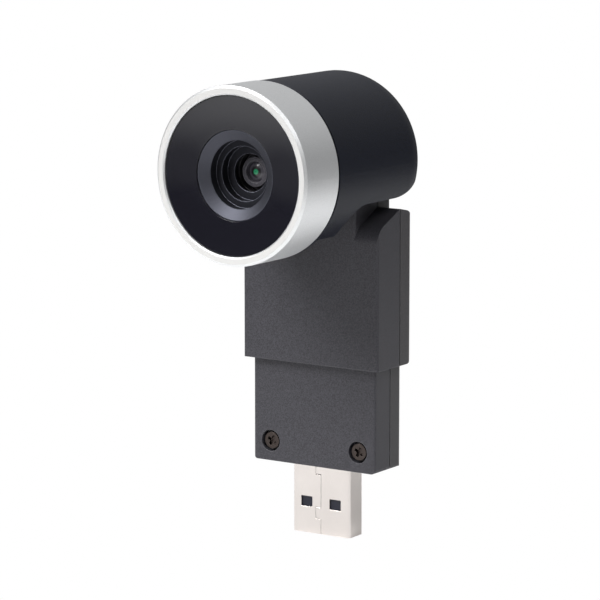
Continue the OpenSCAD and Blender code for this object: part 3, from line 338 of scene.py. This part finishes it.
def moulded(name, colour, look, rough=0.5, depth=0.006, grain=1.0, wear=1.0, shine=0.35):
    """Moulded plastic with a fine spark-eroded grain, and edges lightened partly by rubbing and partly as a
    painted highlight.
    """
    finish = Finish(name, rough)
    finish.set(Specular_IOR_Level=shine)
    soft = finish.soft_edges(look.soft_edge)
    grain_map = finish.grain(look.grain * grain, 4.0)
    tone = finish.mottle(grain_map, colour, 0.6, 1.4)
    # Edges painted lighter: partly rubbing, partly a painted highlight
    worn_and_lit = finish.times(finish.edge_mask(soft), look.edge_wear_and_highlight * wear)
    worn_and_highlight_colour = tuple(part + 0.05 for part in scaled(colour, 1.6))
    finish.paint("Base Color", finish.mix(worn_and_lit, tone, worn_and_highlight_colour))
    finish.paint("Roughness", finish.spread(grain_map, rough - 0.06, rough + 0.08))
    finish.bump(grain_map, depth * MM, soft)
    return finish.material


def blasted_metal(name, colour, look, rough=0.38, depth=0.002, grain=0.09, stretch=None):
    """Bead-blasted or satin metal with fine grain, and a painted highlight along its edges."""
    finish = Finish(name, rough, 1.0)
    soft = finish.soft_edges(look.soft_edge * 0.7)
    grain_map = finish.grain(grain * MM, 3.0, stretch)
    cloud = finish.noise(140, 2.0)
    tone = finish.mottle(cloud, colour, 0.96, 1.03, (0.3, 0.7))
    # Painted highlight: the edges are a lighter copy of the colour
    finish.paint("Base Color", finish.mix(finish.edge_mask(soft), tone, scaled(colour, 1.25)))
    finish.paint("Roughness", finish.spread(grain_map, rough - 0.05, rough + 0.07))
    finish.bump(grain_map, depth * MM, soft)
    return finish.material


def ring_metal(name, colour, rim, look):
    """Satin metal whose front rim is a lighter cut, made brighter still by a painted highlight."""
    finish = Finish(name, 0.5, 1.0)
    soft = finish.soft_edges(look.soft_edge * 0.7)
    grain_map = finish.grain(0.1 * MM, 4.0)
    # The front-facing faces are a lighter cut and a painted highlight: lighter colour, less metal, smoother
    front = finish.facing("Y", HIGHLIT_RIM_FROM, HIGHLIT_RIM_FULL)
    tone = finish.mottle(grain_map, colour, 0.9, 1.07)
    finish.paint("Base Color", finish.mix(front, tone, rim))
    finish.paint("Metallic", finish.spread(front, 1.0, 0.15))
    finish.paint("Roughness", finish.spread(front, 0.5, 0.3))
    finish.bump(grain_map, 0.002 * MM, soft)
    return finish.material


def bezel_metal(name, colour, look):
    """Satin bevel whose steps towards the lens are darker as painted shade of the recess, with painted
    highlights along the turned edges.
    """
    finish = Finish(name, 0.42, 1.0)
    soft = finish.soft_edges(look.soft_edge * 0.6)
    grain_map = finish.grain(0.12 * MM)
    # Painted shade: the steps inside the bevel's foot are darker
    recess_shade = finish.between(finish.reach(), BEVEL_FOOT + EDGE, BEVEL_FOOT - EDGE)
    tone = finish.mix(recess_shade, colour, scaled(colour, 0.45))
    # Painted highlight along the turned edges
    finish.paint("Base Color", finish.mix(finish.edge_mask(soft), tone, scaled(colour, 3.0)))
    finish.paint("Roughness", finish.spread(grain_map, 0.5, 0.64))
    finish.bump(grain_map, 0.001 * MM, soft)
    return finish.material


def piano_gloss(name, colour, look):
    """Deep gloss plastic with faint wiping marks under a clear coat."""
    finish = Finish(name, 0.12)
    finish.set(Base_Color=colour, Specular_IOR_Level=0.3, Coat_Weight=0.6, Coat_Roughness=0.05)
    soft = finish.soft_edges(look.soft_edge)
    smear = finish.noise(260, 5.0, (1.0, 1.0, 3.0))
    finish.paint("Roughness", finish.spread(smear, 0.1, 0.17))
    middle = (PANEL_IN + PANEL_OUT) / 2
    swell = finish.between(finish.reach(), middle, PANEL_OUT, clamp=False)
    finish.bump(finish.times(swell, swell), PANEL_SWELL, soft)
    return finish.material


def solder_mask(name, colour, look):
    """Circuit board with copper tracks faintly raised under the green mask."""
    finish = Finish(name, 0.35)
    finish.set(Coat_Weight=0.3, Coat_Roughness=0.2)
    cells = finish.add("ShaderNodeTexVoronoi", feature="DISTANCE_TO_EDGE", distance="MANHATTAN")
    cells.inputs["Scale"].default_value = 900
    finish.link(finish.place, cells.inputs["Vector"])
    tracks = finish.ramp(cells.outputs["Distance"], ((0.05, 1.0), (0.09, 0.0)))
    finish.paint("Base Color", finish.mix(tracks, colour, scaled(colour, 2.2)))
    finish.bump(tracks, 0.01 * MM, finish.soft_edges(look.soft_edge))
    return finish.material


def gold_contact(name, look):
    """Gold-plated spring contact with wiping marks."""
    finish = Finish(name, 0.22, 1.0)
    wiped = finish.noise(2400, 3.0, (6.0, 6.0, 0.4))
    finish.paint("Base Color", finish.ramp(wiped, ((0.35, GOLD_WORN), (0.7, GOLD))))
    finish.paint("Roughness", finish.spread(wiped, 0.16, 0.34))
    finish.bump(wiped, 0.001 * MM, finish.soft_edges(look.soft_edge * 0.5))
    return finish.material


def front_glass(name, rim, pupil_glint):
    """Front glass with its coating's reflection painted on: a small green painted glint in the middle with a
    dark ring, inside a lavender-grey painted reflection at the rim.
    """
    finish = Finish(name, 0.05)
    share_out = finish.between(finish.reach(), 0.0, GLASS_R)
    dark = scaled(rim, 0.12)
    # Painted reflection: a dark centre, a green glint, a dark ring and a lavender-grey rim
    painted_reflection_rings = ((0.0, dark), (0.08, pupil_glint), (0.26, pupil_glint), (0.34, dark), (0.55, dark), (0.7, rim), (1.0, rim))
    finish.paint("Base Color", finish.ramp(share_out, painted_reflection_rings))
    finish.set(Coat_Weight=0.4, Coat_Roughness=0.15, IOR=1.45)
    finish.paint("Roughness", finish.spread(share_out, 0.25, 0.45))
    return finish.material


def coated_glass(name, tint):
    """Optical glass with a faint coloured coating."""
    finish = Finish(name, 0.02)
    finish.set(Transmission_Weight=1.0, IOR=1.45, Base_Color=scaled(tint, 0.5), Specular_Tint=tint)
    haze = finish.noise(500, 2.0)
    finish.paint("Roughness", finish.spread(haze, 0.01, 0.05))
    return finish.material


def dress(nodes, material):
    """Gives CAD nodes a material."""
    for name in nodes:
        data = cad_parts[name].data
        data.materials.clear()
        data.materials.append(material)


def finishes():
    return bpy.context.scene.camera_finish


# Operators

class FinishStem(Operator):
    """Gives the two blocks of the stem their moulded plastic and dark screws."""
    bl_idname = "conference_camera.finish_stem"
    bl_label = "Finish the stem"

    def execute(self, context):
        tones = finishes()
        dress(["lower_front_shell", "upper_front_shell"],
              moulded("stem_plastic", tones.block, tones, rough=0.46, depth=0.02))
        dress(["lower_rear_cover", "upper_rear_cover"],
              moulded("cover_plastic", tones.cover, tones, depth=0.02))
        dress(["lower_screws", "tower_screws", "bracket_screws", "board_screws", "holder_screws",
               "collar_screws"], blasted_metal("black_screw", tones.screws, tones, rough=0.34))
        return {"FINISHED"}


class FinishPlug(Operator):
    """Gives the plug its plated shell, its dark tongue and its gold contacts."""
    bl_idname = "conference_camera.finish_plug"
    bl_label = "Finish the plug"

    def execute(self, context):
        tones = finishes()
        dress(["usb_shell"], blasted_metal("plated_shell", tones.plug, tones, rough=0.24, depth=0.0008,
                                           grain=0.3, stretch=(3.0, 3.0, 0.6)))
        dress(["usb_tongue"], moulded("plug_plastic", tones.tongue, tones, rough=0.35, depth=0.003))
        dress(["usb_contacts"], gold_contact("gold_contact", tones))
        return {"FINISHED"}


class FinishHead(Operator):
    """Gives the head its casing, gloss panel and lens recess."""
    bl_idname = "conference_camera.finish_head"
    bl_label = "Finish the head"

    def execute(self, context):
        tones = finishes()
        dress(["head_housing"], moulded("housing_plastic", tones.housing, tones, rough=0.42, depth=0.045,
                                        grain=1.3, wear=0.4, shine=0.2))
        dress(["collar", "lens_holder"], moulded("chassis_plastic", CHASSIS, tones))
        dress(["front_panel"], piano_gloss("piano_black", tones.panel, tones))
        dress(["lens_bezel"], bezel_metal("bezel_metal", tones.bezel, tones))
        # The barrel's edges get a strong painted highlight
        dress(["lens_barrel"], moulded("barrel_black", BARREL, tones, rough=0.45, depth=0.002, wear=3.0))
        dress(["front_lens"], front_glass("front_glass", GLASS_RIM_REFLECTION, PUPIL_GLINT))
        dress(["rear_lens"], coated_glass("rear_glass", REAR_COATING))
        dress(["ir_filter"], coated_glass("filter_glass", FILTER_COATING))
        return {"FINISHED"}


class FinishRing(Operator):
    """Gives the turning ring its blasted metal and the shutter its black sheet."""
    bl_idname = "conference_camera.finish_ring"
    bl_label = "Finish the ring and the shutter"

    def execute(self, context):
        tones = finishes()
        dress(["ring_bezel"], ring_metal("silver_ring", tones.ring, tones.rim, tones))
        dress(["shutter_driver"], moulded("driver_plastic", DRIVER, tones, rough=0.4, depth=0.003))
        dress(["shutter_leaf_left", "shutter_leaf_right"],
              blasted_metal("black_leaf", LEAF, tones, rough=0.5, depth=0.001))
        return {"FINISHED"}


class FinishInside(Operator):
    """Gives the boards, the hinge and the wires inside their finishes."""
    bl_idname = "conference_camera.finish_inside"
    bl_label = "Finish the inside"

    def execute(self, context):
        tones = finishes()
        dress(["adapter_board", "main_board", "sensor_board"], solder_mask("solder_mask", tones.board, tones))
        dress(["board_connector", "head_connector", "link_connector"],
              moulded("connector_plastic", CONNECTOR, tones, rough=0.45, depth=0.002))
        dress(["processor"], moulded("chip_package", CHIP, tones, depth=0.002))
        dress(["image_sensor"], piano_gloss("sensor_glass", SENSOR, tones))
        dress(["hinge_axles", "friction_washers", "hinge_brackets"],
              blasted_metal("hinge_steel", HINGE_STEEL, tones, rough=0.32, depth=0.001, grain=0.1,
                            stretch=(0.3, 4.0, 4.0)))
        dress(["hinge_clips"], blasted_metal("spring_steel", SPRING_STEEL, tones, rough=0.35))
        dress(["standoffs"], blasted_metal("turned_brass", BRASS, tones, rough=0.28))
        dress(["stem_wires", "head_wires"],
              moulded("wire_jacket", WIRE, tones, rough=0.55, depth=0.003))
        return {"FINISHED"}


class BuildStudio(Operator):
    """Makes the floor, the backdrop, the lamps and the camera."""
    bl_idname = "conference_camera.build_studio"
    bl_label = "Build the studio"

    def execute(self, context):
        studio = context.scene.camera_studio
        self.world(context, studio)
        self.floor(studio)
        self.lamps(studio)
        self.camera(context, studio)
        return {"FINISHED"}

    def world(self, context, studio):
        world = bpy.data.worlds.new("even_light")
        world.use_nodes = True
        world.node_tree.nodes.clear()
        nodes = Nodes(world.node_tree)
        way = nodes.add("ShaderNodeTexCoord").outputs["Generated"]
        split = nodes.add("ShaderNodeSeparateXYZ")
        nodes.link(way, split.inputs[0])
        depth = nodes.refit(split.outputs["Y"], ROOM_TO_SKY, (studio.room, studio.sky), **SMOOTH)
        height = nodes.refit(split.outputs["Z"], LOW_TO_HIGH, LIGHT_SHARES, **SMOOTH)
        light = nodes.add("ShaderNodeBackground")
        light.inputs["Color"].default_value = WHITE
        nodes.link(nodes.times(depth, height), light.inputs["Strength"])
        blend = nodes.for_camera(light.outputs[0], nodes.flat_white("ShaderNodeBackground"))
        nodes.link(blend, nodes.add("ShaderNodeOutputWorld").inputs["Surface"])
        context.scene.world = world
        context.scene.view_settings.view_transform = "Standard"

    def floor(self, studio):
        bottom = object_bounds()[0][2]
        mesh = bpy.data.meshes.new("floor")
        corners = [(x * FLOOR_HALF, y * FLOOR_HALF, bottom) for x, y in ((-1, -1), (1, -1), (1, 1), (-1, 1))]
        mesh.from_pydata(corners, [], [(0, 1, 2, 3)])
        floor = bpy.data.objects.new("floor", mesh)
        bpy.context.collection.objects.link(floor)
        finish = Finish("pale_floor", 0.9)
        finish.set(Specular_IOR_Level=0.1)
        reach = finish.add("ShaderNodeVectorMath", operation="LENGTH")
        finish.link(finish.place, reach.inputs[0])
        out = finish.between(reach.outputs["Value"], studio.sheet, studio.sheet * SHEET_FADE, **SMOOTH)
        sheet = finish.mix(out, studio.backdrop, FLOOR_FAR)
        finish.paint("Base Color", sheet)
        finish.paint("Emission Color", sheet)
        finish.set(Emission_Strength=studio.bounce)
        blend = finish.for_camera(finish.shader.outputs[0], finish.flat_white("ShaderNodeEmission"))
        finish.link(blend, finish.tree.nodes["Material Output"].inputs["Surface"])
        floor.data.materials.append(finish.material)
        floor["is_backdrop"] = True

    def lamps(self, studio):
        lamps = (("key_lamp", KEY_PLACE, studio.key), ("fill_lamp", FILL_PLACE, studio.fill))
        for name, place, watts in lamps:
            data = bpy.data.lights.new(name, "AREA")
            data.shape = "DISK"
            data.size = LAMP_SIZE
            data.energy = watts
            lamp = bpy.data.objects.new(name, data)
            lamp.location = place
            towards = Vector(LAMP_AIM) - Vector(place)
            lamp.rotation_euler = towards.to_track_quat("-Z", "Y").to_euler()
            bpy.context.collection.objects.link(lamp)

    def camera(self, context, studio):
        data = bpy.data.cameras.new("camera")
        data.lens = studio.focal
        data.sensor_width = SENSOR_MM
        data.clip_start = 0.01
        data.clip_end = 10.0
        camera = bpy.data.objects.new("camera", data)
        turn = Euler((math.pi / 2 - studio.elevation, 0, studio.azimuth), "XYZ")
        camera.rotation_euler = turn
        camera.location = Vector(studio.aim) + turn.to_matrix() @ Vector((0, 0, studio.distance))
        bpy.context.collection.objects.link(camera)
        context.scene.camera = camera


class CameraPanel(Panel):
    """Lists the steps and the sizes and colours."""
    bl_idname = "VIEW3D_PT_conference_camera"
    bl_label = "Conference camera"
    bl_space_type = "VIEW_3D"
    bl_region_type = "UI"
    bl_category = "Camera"

    def draw(self, context):
        column = self.layout.column()
        for group in (context.scene.camera_finish, context.scene.camera_studio):
            for name in group.bl_rna.properties.keys():
                if name not in ("rna_type", "name"):
                    column.prop(group, name)
        for step in STEPS:
            column.operator(step.bl_idname)


STEPS = (BuildStudio, FinishPlug, FinishStem, FinishHead, FinishRing, FinishInside)
CLASSES = (FinishProperties, StudioProperties, *STEPS, CameraPanel)


def register():
    for item in CLASSES:
        bpy.utils.register_class(item)
    bpy.types.Scene.camera_finish = PointerProperty(type=FinishProperties)
    bpy.types.Scene.camera_studio = PointerProperty(type=StudioProperties)


def unregister():
    del bpy.types.Scene.camera_studio
    del bpy.types.Scene.camera_finish
    for item in reversed(CLASSES):
        bpy.utils.unregister_class(item)


def main():
    register()
    for step in STEPS:
        group, name = step.bl_idname.split(".")
        getattr(getattr(bpy.ops, group), name)()


if __name__ == "__main__":
    main()
